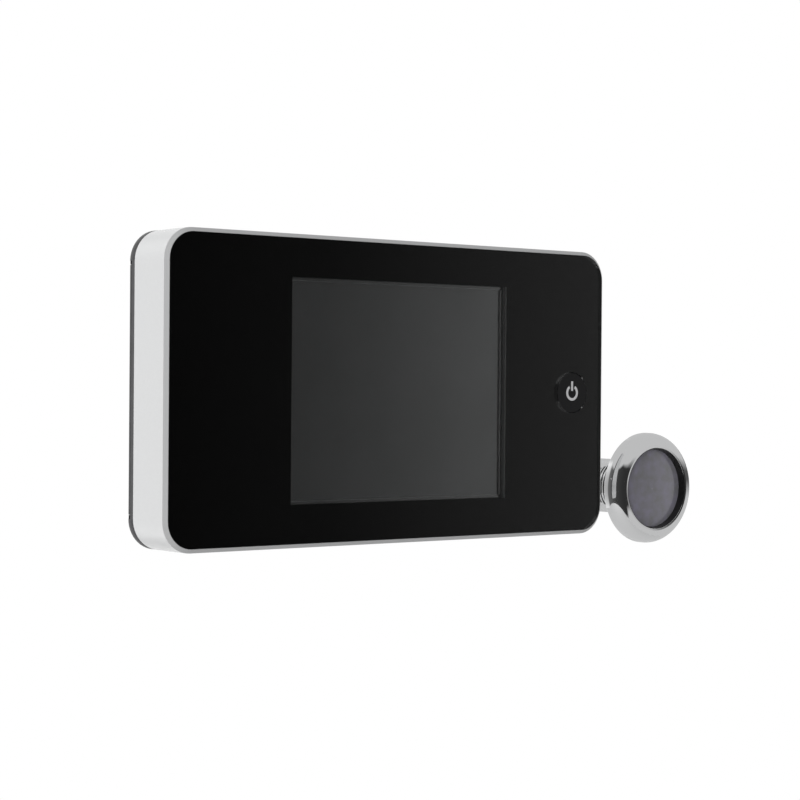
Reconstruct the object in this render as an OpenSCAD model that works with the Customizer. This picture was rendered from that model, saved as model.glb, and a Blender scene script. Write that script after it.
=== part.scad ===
// Door viewer: a thin monitor that hangs on a bracket inside the door, and the
// camera unit that goes through the door's viewer hole. Millimetres.
// X runs to the right as the screen is read, Y goes into the door, Z is up.
// The origin is on the door's face, midway between the two clamp screws.

/* [Monitor] */
// Width of the monitor
body_w = 125; // [120:1:135]
// Height of the monitor
body_h = 68; // [66:1:76]
// Thickness of the monitor, panel to back
body_t = 15; // [15:0.5:18]
// Radius of the monitor's corners, seen from the front
corner_r = 6.8; // [5:0.2:7.6]
// Space between the monitor's back and the door
door_gap = 0.5; // [0.3:0.1:1]
// Bevel round the front edge of the silver frame
front_bevel = 0.8; // [0.4:0.1:1]
// Bevel round the back edge of the dark cover
back_bevel = 0.7; // [0.3:0.1:0.8]
// Height of the dark cover's rim
cover_rim = 2.6; // [2.4:0.1:3.2]
// Wall of the silver frame
frame_wall = 1.6; // [1.3:0.1:1.8]
// Width of the frame's lip beside the panel
frame_lip = 0.87; // [0.85:0.02:1.05]
// Plate of the frame that carries the panel
frame_plate = 0.9; // [0.8:0.1:1.1]
// Back wall of the cover
cover_wall = 1.4; // [1.3:0.1:1.6]
// Thickness of the tongue that locates the cover in the frame
tongue_t = 1; // [0.8:0.1:1.2]
// Height of that tongue
tongue_h = 2; // [1.5:0.1:2.4]

/* [Panel and screen] */
// Thickness of the clear front panel
panel_t = 1; // [0.8:0.1:1.2]
// Hairline gap round the panel
panel_gap = 0.08; // [0.05:0.01:0.12]
// Thickness of the black printed film
mask_t = 0.1; // [0.08:0.01:0.15]
// Thickness of the panel's adhesive sheet
adhesive_t = 0.15; // [0.1:0.01:0.2]
// Space between stacked sheets
sheet_gap = 0.02; // [0.01:0.01:0.03]
// Cover of the glass's edges by the black film, left and right
window_side = 3; // [2.6:0.1:3.6]
// Cover of the glass's edges by the black film, top and bottom
window_top = 3.1; // [2.6:0.1:3.6]
// Dark rim of the screen module that shows inside the window
window_rim = 0.7; // [0.4:0.1:1.2]
// Space from the battery bay to the screen glass
glass_bay_gap = 2.75; // [2.6:0.05:3.5]
// Distance from the screen glass to the middle of the button
glass_button = 17.6; // [17:0.1:19]
// Distance from the monitor's top edge to the screen glass
glass_top = 6.2; // [5.8:0.1:7]
// Thickness of the screen glass
glass_t = 1.1; // [0.9:0.1:1.2]
// Thickness of the backlight
light_t = 2; // [1.6:0.1:2.2]
// Sheet steel of the screen's tray
tray_t = 0.25; // [0.2:0.05:0.3]
// Width of the screen's flexible circuit
flex_w = 20; // [16:1:24]

/* [Power button] */
// Distance from the monitor's side to the middle of the button
button_in = 10.5; // [10:0.1:12]
// Radius of the button's face
button_r = 4.8; // [4:0.1:5]
// Hairline gap round the button's face
button_gap = 0.08; // [0.06:0.01:0.1]
// Width of the skirt that keeps the button in
button_skirt = 0.8; // [0.6:0.1:1]
// Thickness of that skirt
skirt_t = 0.35; // [0.3:0.05:0.4]
// Travel of the button
button_travel = 0.3; // [0.2:0.05:0.35]
// Radius of the stem that presses the switch
stem_r = 1.9; // [1.6:0.1:2.2]
// Side of the switch
switch_w = 6; // [5:0.5:7]
// Height of the switch
switch_h = 3.1; // [2.8:0.1:3.3]
// Radius of the switch's plunger
plunger_r = 1.7; // [1.4:0.1:2]

/* [Circuit board] */
// Thickness of the board
board_t = 1; // [0.8:0.1:1.2]
// Space from the screen's tray to the board
board_gap = 0.9; // [0.85:0.05:1.1]
// Distance from the frame's wall to the board's screws, top and bottom
board_screw_down = 2.1; // [2:0.1:2.3]
// Distance of the left board screws from the glass's side
board_screw_over = 3.2; // [2.6:0.1:6]
// Distance of the right board screws from the glass's side
board_screw_beside = 5.6; // [3:0.1:8]
// Shank radius of the board screws
board_screw_r = 0.8; // [0.7:0.05:0.9]
// Shank radius of the cover screws
cover_screw_r = 1; // [0.9:0.05:1.1]
// Distance of the cover screws from the left and right sides
cover_screw_in = 6; // [5.8:0.1:6.4]
// Space between the battery bay and the posts of the cover screws
post_gap = 0.5; // [0.4:0.05:0.6]
// Radius of the posts that take the cover screws
post_r = 2.2; // [2:0.1:2.3]

/* [Parts on the board] */
// Side of the main chip
chip_w = 12; // [10:1:14]
// Height of the main chip
chip_h = 1.2; // [0.8:0.1:1.4]
// Side of the driver chip
driver_w = 7; // [5:1:9]
// Radius of the capacitors
cap_r = 2.1; // [1.6:0.1:2.4]
// Height of the capacitors
cap_h = 3.2; // [2.6:0.1:3.4]
// Spacing of the capacitors
cap_pitch = 5.4; // [5:0.1:6]
// Radius of the coil
coil_r = 3.2; // [2.8:0.1:3.6]
// Height of the coil
coil_h = 3; // [2.4:0.1:3.2]
// Width of the ribbon lead's socket
socket_w = 14; // [12:1:16]
// Height of that socket above the board
socket_h = 2.6; // [2.2:0.1:2.8]
// Depth of both sockets, measured along Z
socket_d = 6; // [5:0.5:7]
// Distance from the board's right edge to the driver chip and the capacitors
parts_in = 25.6; // [24:0.1:27]
// Distance from the board's right edge to the coil
coil_in = 13.6; // [13:0.1:15]
// Distance from the board's lower edge to the main chip
chip_up = 11.8; // [11:0.1:13]
// Distance from the board's upper edge to the capacitors
cap_down = 9.8; // [9:0.1:11]
// Distance from the glass's lower edge to the flex lead's socket
flex_up = 8.8; // [8:0.1:10]

/* [Battery bay] */
// Radius of a cell
cell_r = 5.25; // [5:0.05:5.25]
// Room for a fitted contact spring
spring_len = 6.4; // [5.6:0.1:7]
// Space round each cell
cell_gap = 0.15; // [0.1:0.05:0.2]
// Distance from the monitor's side to the bay
bay_side = 2.65; // [2.65:0.05:3]
// Distance from the monitor's top edge to the bay
bay_top = 8; // [7.8:0.1:8.2]
// Wall of the bay
bay_wall = 1; // [0.8:0.1:1.05]
// Floor of the bay
bay_floor = 0.65; // [0.5:0.05:0.7]
// Thickness of the battery door
door_t = 1.3; // [1.2:0.05:1.4]
// Running gap round the battery door
slide_gap = 0.1; // [0.08:0.01:0.12]
// Depth of the door's tongue in its groove
rail_w = 0.8; // [0.6:0.1:1]
// Thickness of the door's tongue
rail_t = 0.7; // [0.6:0.05:0.75]
// Thickness of the contact plates
contact_t = 0.4; // [0.3:0.05:0.5]
// Radius of the contact springs' wire
wire_r = 0.3; // [0.25:0.05:0.35]
// Turns of a contact spring
spring_turns = 4; // [3:1:5]

/* [Bracket] */
// Distance from the bracket's side to the battery bay
bracket_side = 3.95; // [3.5:0.05:6]
// Distance from the monitor's top edge to the bracket
bracket_top = 12; // [11:0.5:13]
// Sheet thickness of the bracket
bracket_t = 1.2; // [1:0.1:1.3]
// Corner radius of the bracket
bracket_r = 3; // [2:0.5:5]
// Thickness of the foam tape
tape_t = 1; // [0.8:0.1:1.2]
// Width of each patch of foam tape
tape_w = 15; // [12:1:16]
// Free space round the bracket in the monitor's back
bracket_gap = 0.3; // [0.25:0.05:0.4]
// Height that the monitor is lifted to leave its hooks
lift = 5.4; // [5.2:0.1:6]
// Width of a hook
hook_w = 6; // [5:0.5:8]
// Thickness of a hook
hook_t = 1; // [0.8:0.1:1.2]
// Height of a hook's tip above its leg
hook_tip = 4.4; // [3.6:0.1:4.8]
// Distance of the hooks from the bracket's sides
hook_side = 8; // [6:0.5:10]
// Distance of the upper hooks' legs from the bracket's top
hook_down = 11; // [10:0.5:13]
// Distance of the lower hooks' legs from the bracket's bottom
hook_up = 5; // [4:0.5:6]
// Wall of the monitor's back that hangs on the hooks
seat_wall = 1.2; // [1:0.1:1.3]
// Distance between the two clamp screws
clamp_spacing = 10; // [9.6:0.1:10.4]
// Shank radius of the clamp screws
clamp_r = 1.25; // [1.1:0.05:1.3]
// Depth by which the clamp screws' plain neck is thinner than their thread
clamp_waist = 0.12; // [0.08:0.02:0.16]
// Length of the clamp screws behind the door's face
clamp_len = 28; // [20:1:40]
// Width of the slot for the ribbon lead
ribbon_w = 5.2; // [4.6:0.1:5.4]
// Length of that slot
ribbon_h = 13; // [10:0.5:14]

/* [Camera] */
// Space between the monitor and the camera's flange, seen from the front
camera_gap = 14.7; // [10:0.1:40]
// Height of the camera's axis
camera_z = -24.35; // [-40:0.05:0]
// Radius of the flange
flange_r = 14.1; // [13.6:0.1:15.5]
// Height of the flange
flange_h = 4.8; // [4.6:0.1:6]
// Rounding of the flange's shoulder
shoulder_r = 3.5; // [2.5:0.1:3.8]
// Width of the flange's flat front lip
lip_w = 0.25; // [0.2:0.05:0.4]
// Wall of the black ring
ring_wall = 0.35; // [0.3:0.05:0.5]
// Depth of the recess to the window's edge
recess_d = 1.9; // [1.6:0.1:2.1]
// Thickness of the window at its edge
lens_t = 1.05; // [0.9:0.05:1.2]
// Rise of the window's dome
dome_h = 0.3; // [0.2:0.05:0.5]
// Outer radius of the barrel
barrel_r = 7; // [6.8:0.1:8]
// Depth of the relief where the barrel meets the flange
barrel_relief = 0.3; // [0.2:0.05:0.4]
// Bore radius of the barrel
bore_r = 5.8; // [5.6:0.1:6.2]
// Length of the barrel behind the door's face
barrel_len = 30; // [24:1:60]
// Length of the end plug outside the barrel
plug_len = 8; // [6:0.5:10]
// Length of the end plug inside the barrel
plug_in = 5; // [4:0.5:6]
// Thickness of the rubber washer
washer_t = 0.8; // [0.6:0.1:1.2]
// Fit of the pieces inside the barrel
barrel_fit = 0.06; // [0.04:0.01:0.1]

/* [Hidden] */
$fn = 64;
// Small overlap that keeps cuts clean
cut = 0.5;
// Overlap of shapes that are joined into one piece
join = 0.1;
// Smallest space between two pieces that touch
touch = 0.02;
// Free space round pieces that are laid into a seat
seat_gap = 0.1;
// Share of a pan head's radius and of its height beside the shank's radius
pan_r = 1.8;
pan_h = 1.3;
// Length, width and depth of a cross recess, as shares of the head's size
cross_len = 0.62;
cross_w = 0.13;
cross_d = 0.5;

// Planes across the monitor, from the door outwards
back_y = -door_gap;
front_y = back_y - body_t;
seam_y = back_y - cover_rim;
sheet_y = front_y + panel_t + sheet_gap;
adhesive_y = sheet_y + mask_t + sheet_gap;
plate_y = adhesive_y + adhesive_t + sheet_gap;
inside_y = plate_y + frame_plate;
stack_gap = 0.05;
tray_y = inside_y + stack_gap;
glass_y = tray_y + tray_t + stack_gap;
light_y = glass_y + glass_t + stack_gap;
tray_back_y = light_y + light_t + stack_gap;
board_y = tray_back_y + board_gap;
board_back_y = board_y + board_t;
on_board_y = board_back_y + touch;
wall_y = back_y - cover_wall;
tongue_y = seam_y - tongue_h;

// Outlines inside the monitor
frame_in_w = body_w - 2 * frame_wall;
frame_in_h = body_h - 2 * frame_wall;
frame_in_r = corner_r - frame_wall;
cover_in_w = frame_in_w - 2 * tongue_t;
cover_in_h = frame_in_h - 2 * tongue_t;
cover_in_r = frame_in_r - tongue_t;

// Battery bay
contact_gap = 0.1;
bay_w = 4 * cell_r + 6 * cell_gap;
bay_out_w = bay_w + 2 * bay_wall;
bay_x = body_w / 2 - bay_side - bay_out_w / 2;
bay_right = -bay_x + bay_out_w / 2;
bay_len = body_h - 2 * bay_top;
bay_out_len = bay_len + 2 * bay_wall;
cell_len = bay_len - spring_len - 2 * contact_t - 3 * contact_gap;
cell_off = bay_len / 2 - contact_t - 2 * contact_gap - cell_len / 2;
cell_x = cell_r + cell_gap;
door_y = back_y - door_t;
cell_y = door_y - cell_gap - cell_r;
bay_floor_y = cell_y - cell_r - cell_gap / 2;
door_lap = 0.4;
door_half = bay_len / 2 + door_lap;
door_end = bay_right - seat_gap;
ledge_t = 1.1;
ledge_w = 1;
nub_r = 1.9;
nub_h = 0.8;
spring_seat = bay_len / 2 - contact_t - 1.5 * contact_gap;
spring_wide_in = 1.4;
spring_slim_in = 2.8;
spring_wide_r = cell_r - spring_wide_in;
spring_slim_r = cell_r - spring_slim_in;
spring_steps = 18;
spring_sides = 6;
contact_in = 0.6;
grip_count = 5;
grip_pitch = 1.8;
grip_w = 0.8;
grip_d = 0.4;
grip_half = 8;
grip_side = 5;

// Panel and screen
button_x = body_w / 2 - button_in;
glass_left = bay_right + glass_bay_gap;
glass_right = button_x - glass_button;
glass_w = glass_right - glass_left;
glass_h = body_h - 2 * glass_top;
window_x = (glass_left + glass_right) / 2;
window_w = glass_w - 2 * window_side;
window_h = glass_h - 2 * window_top;
panel_w = body_w - 2 * (frame_lip + panel_gap);
panel_h = body_h - 2 * (frame_lip + panel_gap);
panel_r = corner_r - frame_lip - panel_gap;
tray_room = 0.15;
tray_w = glass_w + 2 * (tray_t + tray_room);
tray_h = glass_h + 2 * (tray_t + tray_room);
plate_hole_rim = 0.6;
adhesive_in = 1;
adhesive_rim = plate_hole_rim + 0.12;
flex_t = 0.12;
flex_bend = 0.3;
flex_plug = 2.1;
flex_rim = 1.5;
flex_half = 2;
flex_socket_z = -glass_h / 2 + flex_up;

// Button and switch
button_hole_r = button_r + button_gap;
button_edge = 0.08;
skirt_r = button_r + button_skirt;
skirt_y = adhesive_y;
skirt_back_y = skirt_y + skirt_t;
skirt_floor_y = skirt_back_y + button_travel + seat_gap;
skirt_room = 0.3;
switch_y = board_y - switch_h;
plunger_out = 0.6;
plunger_in = 0.9;
plunger_y = switch_y - plunger_out;
plunger_floor_y = switch_y + plunger_in + button_travel + 2 * seat_gap;
stem_y = plunger_y - sheet_gap;

// Board and screws
board_bay_gap = 1;
board_side_gap = 1.3;
board_top_gap = 0.6;
board_left = bay_right + board_bay_gap;
board_right = frame_in_w / 2 - board_side_gap;
board_top = frame_in_h / 2 - board_top_gap;
screw_gap = 0.15;
post_hole_gap = 0.4;
board_corner = 6.4;
board_boss_r = 1.85;
board_screw_z = frame_in_h / 2 - board_screw_down;
board_screw_left = glass_left + board_screw_over;
board_screw_right = glass_right + board_screw_beside;
board_screw_h = 1.1;
board_screw_in = 2.6;
cover_screw_x = body_w / 2 - cover_screw_in;
cover_screw_z = bay_out_len / 2 + post_gap + post_r;
cover_screw_h = 1.4;
cover_head_room = 0.15;
cover_seat_y = back_y - cover_head_room - cover_screw_h - stack_gap;
post_y = tongue_y - seat_gap;
post_root = 0.3;
post_floor = 0.8;
boss_floor = 0.6;
chip_x = 8;
chip_z = -board_top + chip_up;
parts_x = board_right - parts_in;
driver_z = -8;
cap_count = 3;
cap_z = board_top - cap_down;
coil_x = board_right - coil_in;
coil_z = 8;
coil_rim = 0.6;
coil_waist = 0.7;
chip_corner = 0.4;
chip_bevel = 0.2;

// Bracket
bracket_w = 2 * (-bay_right - bracket_side);
bracket_h = body_h - 2 * bracket_top;
plate_back_y = -tape_t;
plate_front_y = plate_back_y - bracket_t;
seat_y = plate_front_y - bracket_gap;
seat_in_y = seat_y - seat_wall;
hook_x = bracket_w / 2 - hook_side;
hook_high = bracket_h / 2 - hook_down;
hook_low = -bracket_h / 2 + hook_up;
hook_reach = bracket_gap * 2 + seat_wall + hook_t;
hook_room = 0.5;
notch_room = 0.3;
recess_room = 0.6;
recess_w = bracket_w + 2 * recess_room;
recess_top = bracket_h / 2 + recess_room;
recess_bottom = -bracket_h / 2 - lift - recess_room;
tape_in = 1;
tape_down = 2;
clamp_hole_r = clamp_r + screw_gap;
clamp_neck_r = clamp_r - clamp_waist;
clamp_head_r = clamp_r * pan_r;
clamp_head_h = clamp_r * pan_h;
port_room = 3;
port_w = clamp_spacing + 2 * (clamp_head_r + port_room);
port_top = 10;
port_rim = 1.4;
port_bottom = -clamp_head_r - lift - port_rim;
socket_down = 2;
socket_top = port_top - socket_down;
socket_rim = 1.5;
socket_wall = 0.75;

// Camera
camera_x = body_w / 2 + camera_gap + flange_r;
flange_y = -washer_t;
rim_y = flange_y - flange_h;
shoulder_step = 6;
recess_r = flange_r - shoulder_r - lip_w;
rim_in = 0.15;
flange_chamfer = 0.2;
barrel_chamfer = 0.5;
lens_y = rim_y + recess_d;
lens_back_y = lens_y + lens_t;
lens_r = recess_r - barrel_fit - ring_wall;
lens_play = 0.03;
ring_down = 0.2;
washer_in = 1;
housing_end_y = barrel_len;
relief_y = 0.2;
inner_r = bore_r - barrel_fit;
holder_gap = 1.2;
holder_y = lens_back_y + holder_gap;
holder_len = 9;
tube_r = 4.4;
tube_out = 0.7;
tube_y = holder_y - tube_out;
tube_len = 7;
tube_rim = 0.4;
bead_r = 1.7;
bead_down = 1;
bead_y = tube_y + bead_down;
bead_len = 1.2;
bead_reach = 60;
sensor_y = holder_y + holder_len + seat_gap;
sensor_t = 1;
sensor_w = 5;
// Share of the sensor's width that clears its corners
sensor_corner = 0.72;
sensor_room_r = sensor_w * sensor_corner;
sensor_board_y = sensor_y + sensor_t + touch;
plug_step = 0.1;
plug_tap = 0.2;
plug_slot_h = 9;

// A rectangle with round corners, centred on the origin
module rounded(w, h, r) {
    square([w - 2 * r, h], center = true);
    square([w, h - 2 * r], center = true);
    for (sx = [-1, 1], sz = [-1, 1])
        translate([sx * (w / 2 - r), sz * (h / 2 - r)])
            circle(r);
}

// Extrudes an outline in X and Z from y0 to y1
module layer(y0, y1) {
    translate([0, y1, 0])
        rotate([90, 0, 0])
            linear_extrude(y1 - y0)
                children();
}

// A box between two corners
module block(low, high) {
    translate(low)
        cube(high - low);
}

// A round bar along Y
module bar(r, y0, y1) {
    translate([0, y0, 0])
        rotate([-90, 0, 0])
            cylinder(h = y1 - y0, r = r);
}

// Turns a profile of [radius, y] points about the Y axis
module turned(points) {
    rotate([-90, 0, 0])
        rotate_extrude()
            polygon(points);
}

// The long edge of a slab's section, with its bevels
function edge_line(y0, y1, half, front, back) = concat(
    front > 0 ? [[y0, half - front], [y0 + front, half]] : [[y0, half]],
    back > 0 ? [[y1 - back, half], [y1, half - back]] : [[y1, half]]);

// A straight bar along X with bevelled edges
module bevelled_bar(length, width, y0, y1, front, back) {
    line = edge_line(y0, y1, width / 2, front, back);
    last = len(line) - 1;
    translate([-length / 2, 0, 0])
        rotate([90, 0, 90])
            linear_extrude(length)
                polygon(concat(line, [for (i = [last:-1:0]) [line[i][0], -line[i][1]]]));
}

// A slab with round corners and a bevel round its front and its back
module bevelled_slab(w, h, r, y0, y1, front, back) {
    corner = edge_line(y0, y1, r, front, back);
    bevelled_bar(w - 2 * r, h, y0, y1, front, back);
    rotate([0, 90, 0])
        bevelled_bar(h - 2 * r, w, y0, y1, front, back);
    for (sx = [-1, 1], sz = [-1, 1])
        translate([sx * (w / 2 - r), 0, sz * (h / 2 - r)])
            turned(concat([[0, y0]], [for (p = corner) [p[1], p[0]]], [[0, y1]]));
}

// Copies to the four places at plus and minus x and z
module four(x, z) {
    for (sx = [-1, 1], sz = [-1, 1])
        translate([sx * x, 0, sz * z])
            children();
}

// Copies to the four screws of the board
module at_board_screws() {
    for (x = [board_screw_left, board_screw_right], sz = [-1, 1])
        translate([x, 0, sz * board_screw_z])
            children();
}

// A screw along Y with its head at the low end, and a cross recess
module screw(head_r, head_h, shank_r, head_y, end_y) {
    difference() {
        union() {
            bar(head_r, head_y, head_y + head_h);
            bar(shank_r, head_y + head_h - join, end_y);
        }
        for (turn = [0, 90])
            rotate([0, turn, 0])
                block([-head_r * cross_len, head_y - cut, -head_r * cross_w],
                    [head_r * cross_len, head_y + head_h * cross_d, head_r * cross_w]);
    }
}

// Clear acrylic sheet that covers the whole front
module front_panel() {
    color([0.12, 0.12, 0.13])
        difference() {
            layer(front_y, front_y + panel_t)
                rounded(panel_w, panel_h, panel_r);
            translate([button_x, 0, 0])
                bar(button_hole_r, front_y - cut, front_y + panel_t + cut);
        }
}

// Black printed film behind the panel, with the screen window
module panel_mask() {
    color([0.02, 0.02, 0.02])
        difference() {
            layer(sheet_y, sheet_y + mask_t)
                difference() {
                    rounded(panel_w, panel_h, panel_r);
                    translate([window_x, 0])
                        square([window_w, window_h], center = true);
                }
            translate([button_x, 0, 0])
                bar(button_hole_r, sheet_y - cut, sheet_y + mask_t + cut);
        }
}

// Adhesive sheet that holds the panel to the frame
module panel_adhesive() {
    color([0.75, 0.75, 0.7])
        difference() {
            layer(adhesive_y, adhesive_y + adhesive_t)
                difference() {
                    rounded(panel_w - 2 * adhesive_in, panel_h - 2 * adhesive_in, panel_r - adhesive_in);
                    translate([window_x, 0])
                        square([window_w + 2 * adhesive_rim, window_h + 2 * adhesive_rim], center = true);
                }
            translate([button_x, 0, 0])
                bar(skirt_r + skirt_room, adhesive_y - cut, adhesive_y + adhesive_t + cut);
        }
}

// Posts on the frame's plate for the cover screws and the board
module frame_posts() {
    four(cover_screw_x, cover_screw_z)
        bar(post_r, inside_y - post_root, post_y);
    at_board_screws()
        bar(board_boss_r, inside_y - post_root, board_y - touch);
}

// Silver frame: the band round the monitor, the panel's pocket and its plate
module front_frame() {
    color([0.86, 0.87, 0.88])
        difference() {
            union() {
                difference() {
                    bevelled_slab(body_w, body_h, corner_r, front_y, seam_y, front_bevel, 0);
                    layer(front_y - cut, plate_y)
                        rounded(body_w - 2 * frame_lip, body_h - 2 * frame_lip, corner_r - frame_lip);
                    layer(inside_y, seam_y + cut)
                        rounded(frame_in_w, frame_in_h, frame_in_r);
                }
                frame_posts();
            }
            layer(plate_y - cut, inside_y + cut)
                translate([window_x, 0])
                    square([window_w + 2 * plate_hole_rim, window_h + 2 * plate_hole_rim], center = true);
            translate([window_x, 0, 0])
                block([-tray_w / 2 - tray_room, inside_y, -tray_h / 2 - tray_room],
                    [tray_w / 2 + tray_room, board_y, tray_h / 2 + tray_room]);
            translate([button_x, 0, 0]) {
                bar(stem_r + skirt_room, plate_y - cut, inside_y + cut);
                bar(skirt_r + skirt_room, plate_y - cut, skirt_floor_y);
            }
            four(cover_screw_x, cover_screw_z)
                bar(cover_screw_r + touch, inside_y + post_floor, post_y + cut);
            at_board_screws()
                bar(board_screw_r + touch, inside_y + boss_floor, board_y + cut);
        }
}

// Outer box of the battery bay, closed towards the panel
module bay_tub() {
    block([-bay_x - bay_out_w / 2, bay_floor_y - bay_floor, -bay_out_len / 2],
        [-bay_x + bay_out_w / 2, wall_y + join, bay_out_len / 2]);
    // Ledge that the door's tongues run on
    block([-frame_in_w / 2 + seat_gap, wall_y - ledge_t, -door_half - rail_w - ledge_w],
        [bay_right + rail_w + ledge_w, wall_y + join, door_half + rail_w + ledge_w]);
}

// Channel and grooves of the battery door
module door_channel() {
    block([-body_w / 2 - cut, door_y - slide_gap, -door_half - slide_gap],
        [door_end + slide_gap, back_y + cut, door_half + slide_gap]);
    block([-body_w / 2 - cut, door_y - slide_gap, -door_half - rail_w - slide_gap],
        [door_end + rail_w + slide_gap, door_y + rail_t + slide_gap, door_half + rail_w + slide_gap]);
}

// Places of the four hooks
module at_hooks() {
    for (sx = [-1, 1], z = [hook_high, hook_low])
        translate([sx * hook_x, 0, z])
            children();
}

// Dark back cover: rim, tongue, bracket recess, hook slots, lead port and bay
module back_cover() {
    color([0.2, 0.2, 0.21])
        difference() {
            union() {
                difference() {
                    bevelled_slab(body_w, body_h, corner_r, seam_y, back_y, 0, back_bevel);
                    layer(seam_y - cut, wall_y)
                        rounded(cover_in_w, cover_in_h, cover_in_r);
                }
                difference() {
                    layer(tongue_y, seam_y + join)
                        rounded(frame_in_w - 2 * seat_gap, frame_in_h - 2 * seat_gap, frame_in_r - seat_gap);
                    layer(tongue_y - cut, seam_y + cut)
                        rounded(cover_in_w, cover_in_h, cover_in_r);
                }
                block([-recess_w / 2 - seat_wall, seat_in_y, recess_bottom - seat_wall],
                    [recess_w / 2 + seat_wall, wall_y + join, recess_top + seat_wall]);
                bay_tub();
                four(cover_screw_x, cover_screw_z)
                    bar(post_r, tongue_y, wall_y + join);
            }
            block([-recess_w / 2, seat_y, recess_bottom],
                [recess_w / 2, back_y + cut, recess_top]);
            block([-port_w / 2, seat_in_y - cut, port_bottom],
                [port_w / 2, seat_y + cut, port_top]);
            at_hooks()
                block([-hook_w / 2 - hook_room, seat_in_y - cut, -lift - recess_room],
                    [hook_w / 2 + hook_room, seat_y + cut, hook_t + seat_gap]);
            block([-bay_x - bay_w / 2, bay_floor_y, -bay_len / 2],
                [-bay_x + bay_w / 2, back_y + cut, bay_len / 2]);
            door_channel();
            four(cover_screw_x, cover_screw_z) {
                bar(cover_screw_r + cover_head_room, tongue_y - cut, back_y + cut);
                bar(cover_screw_r * pan_r + seat_gap, cover_seat_y, back_y + cut);
            }
        }
}

// Steel tray that holds the screen's glass and backlight together
module screen_tray() {
    color([0.3, 0.3, 0.32])
        translate([window_x, 0, 0])
            difference() {
                block([-tray_w / 2, tray_y, -tray_h / 2], [tray_w / 2, tray_back_y, tray_h / 2]);
                block([-tray_w / 2 + tray_t, tray_y + tray_t, -tray_h / 2 + tray_t],
                    [tray_w / 2 - tray_t, tray_back_y + cut, tray_h / 2 - tray_t]);
                block([-window_w / 2 + window_rim, tray_y - cut, -window_h / 2 + window_rim],
                    [window_w / 2 - window_rim, tray_back_y, window_h / 2 - window_rim]);
                block([-flex_w / 2 - flex_rim, glass_y, -tray_h / 2 - cut],
                    [flex_w / 2 + flex_rim, tray_back_y + cut, -tray_h / 2 + tray_t + cut]);
            }
}

// Glass of the screen
module screen_glass() {
    color([0.16, 0.16, 0.18])
        translate([window_x, 0, 0])
            block([-glass_w / 2, glass_y, -glass_h / 2], [glass_w / 2, glass_y + glass_t, glass_h / 2]);
}

// Light guide behind the glass
module backlight() {
    color([0.93, 0.93, 0.95])
        translate([window_x, 0, 0])
            block([-glass_w / 2, light_y, -glass_h / 2], [glass_w / 2, light_y + light_t, glass_h / 2]);
}

// Flexible circuit that folds from the glass round to the board
module screen_flex() {
    bottom = -glass_h / 2 - stack_gap;
    fold = -tray_h / 2 - flex_bend;
    mid_y = glass_y + glass_t / 2;
    back = tray_back_y + flex_bend;
    color([0.75, 0.45, 0.15])
        translate([window_x, 0, 0]) {
            block([-flex_w / 2, mid_y, fold], [flex_w / 2, mid_y + flex_t, bottom]);
            block([-flex_w / 2, mid_y, fold], [flex_w / 2, back + flex_t, fold + flex_t]);
            block([-flex_w / 2, back, fold], [flex_w / 2, back + flex_t, flex_socket_z - flex_plug]);
        }
}

// Socket on the board for the screen's flexible circuit
module flex_socket() {
    color([0.9, 0.88, 0.8])
        translate([window_x, 0, flex_socket_z])
            block([-flex_w / 2 - flex_rim, tray_back_y + seat_gap, -flex_half],
                [flex_w / 2 + flex_rim, board_y - touch, flex_half]);
}

// Circuit board behind the screen
module main_board() {
    color([0.05, 0.3, 0.16])
        difference() {
            block([board_left, board_y, -board_top], [board_right, board_back_y, board_top]);
            at_board_screws()
                bar(board_screw_r + screw_gap, board_y - cut, board_back_y + cut);
            four(cover_screw_x, cover_screw_z)
                bar(post_r + post_hole_gap, board_y - cut, board_back_y + cut);
            four(body_w / 2, body_h / 2)
                rotate([0, 45, 0])
                    block([-board_corner, board_y - cut, -board_corner],
                        [board_corner, board_back_y + cut, board_corner]);
        }
}

// Square chip with a chamfer on its body
module chip(w, x, z) {
    translate([x, 0, z])
        bevelled_slab(w, w, chip_corner, on_board_y, on_board_y + chip_h, 0, chip_bevel);
}

module main_chip() {
    color([0.1, 0.1, 0.1])
        chip(chip_w, chip_x, chip_z);
}

module driver_chip() {
    color([0.1, 0.1, 0.1])
        chip(driver_w, parts_x, driver_z);
}

// Three tall capacitors beside the coil
module capacitors() {
    color([0.8, 0.8, 0.82])
        for (i = [0:cap_count - 1])
            translate([parts_x + cap_pitch * i, 0, cap_z])
                bar(cap_r, on_board_y, on_board_y + cap_h);
}

// Coil of the power converter
module coil() {
    color([0.25, 0.25, 0.27])
        translate([coil_x, on_board_y, coil_z])
            turned([[0, 0], [coil_r, 0], [coil_r, coil_rim], [coil_r - coil_waist, 1.5 * coil_rim],
                [coil_r - coil_waist, coil_h - 1.5 * coil_rim], [coil_r, coil_h - coil_rim],
                [coil_r, coil_h], [0, coil_h]]);
}

// Socket that the camera's ribbon lead plugs into, seen through the port
module ribbon_socket() {
    color([0.92, 0.9, 0.82])
        difference() {
            block([-socket_w / 2, on_board_y, socket_top - socket_d],
                [socket_w / 2, on_board_y + socket_h, socket_top]);
            block([-socket_w / 2 + socket_rim, on_board_y + socket_wall, socket_top - socket_d - cut],
                [socket_w / 2 - socket_rim, on_board_y + socket_h - socket_wall, socket_top - socket_rim]);
        }
}

// Body of the push switch behind the power button
module switch_body() {
    color([0.14, 0.14, 0.15])
        translate([button_x, 0, 0])
            difference() {
                block([-switch_w / 2, switch_y, -switch_w / 2],
                    [switch_w / 2, board_y - touch, switch_w / 2]);
                bar(plunger_r + seat_gap, switch_y - cut, plunger_floor_y);
            }
}

module board_screws() {
    color([0.7, 0.7, 0.68])
        at_board_screws()
            mirror([0, 1, 0])
                screw(board_screw_r * pan_r, board_screw_h, board_screw_r, -on_board_y - board_screw_h,
                    -board_y + board_screw_in);
}

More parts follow.
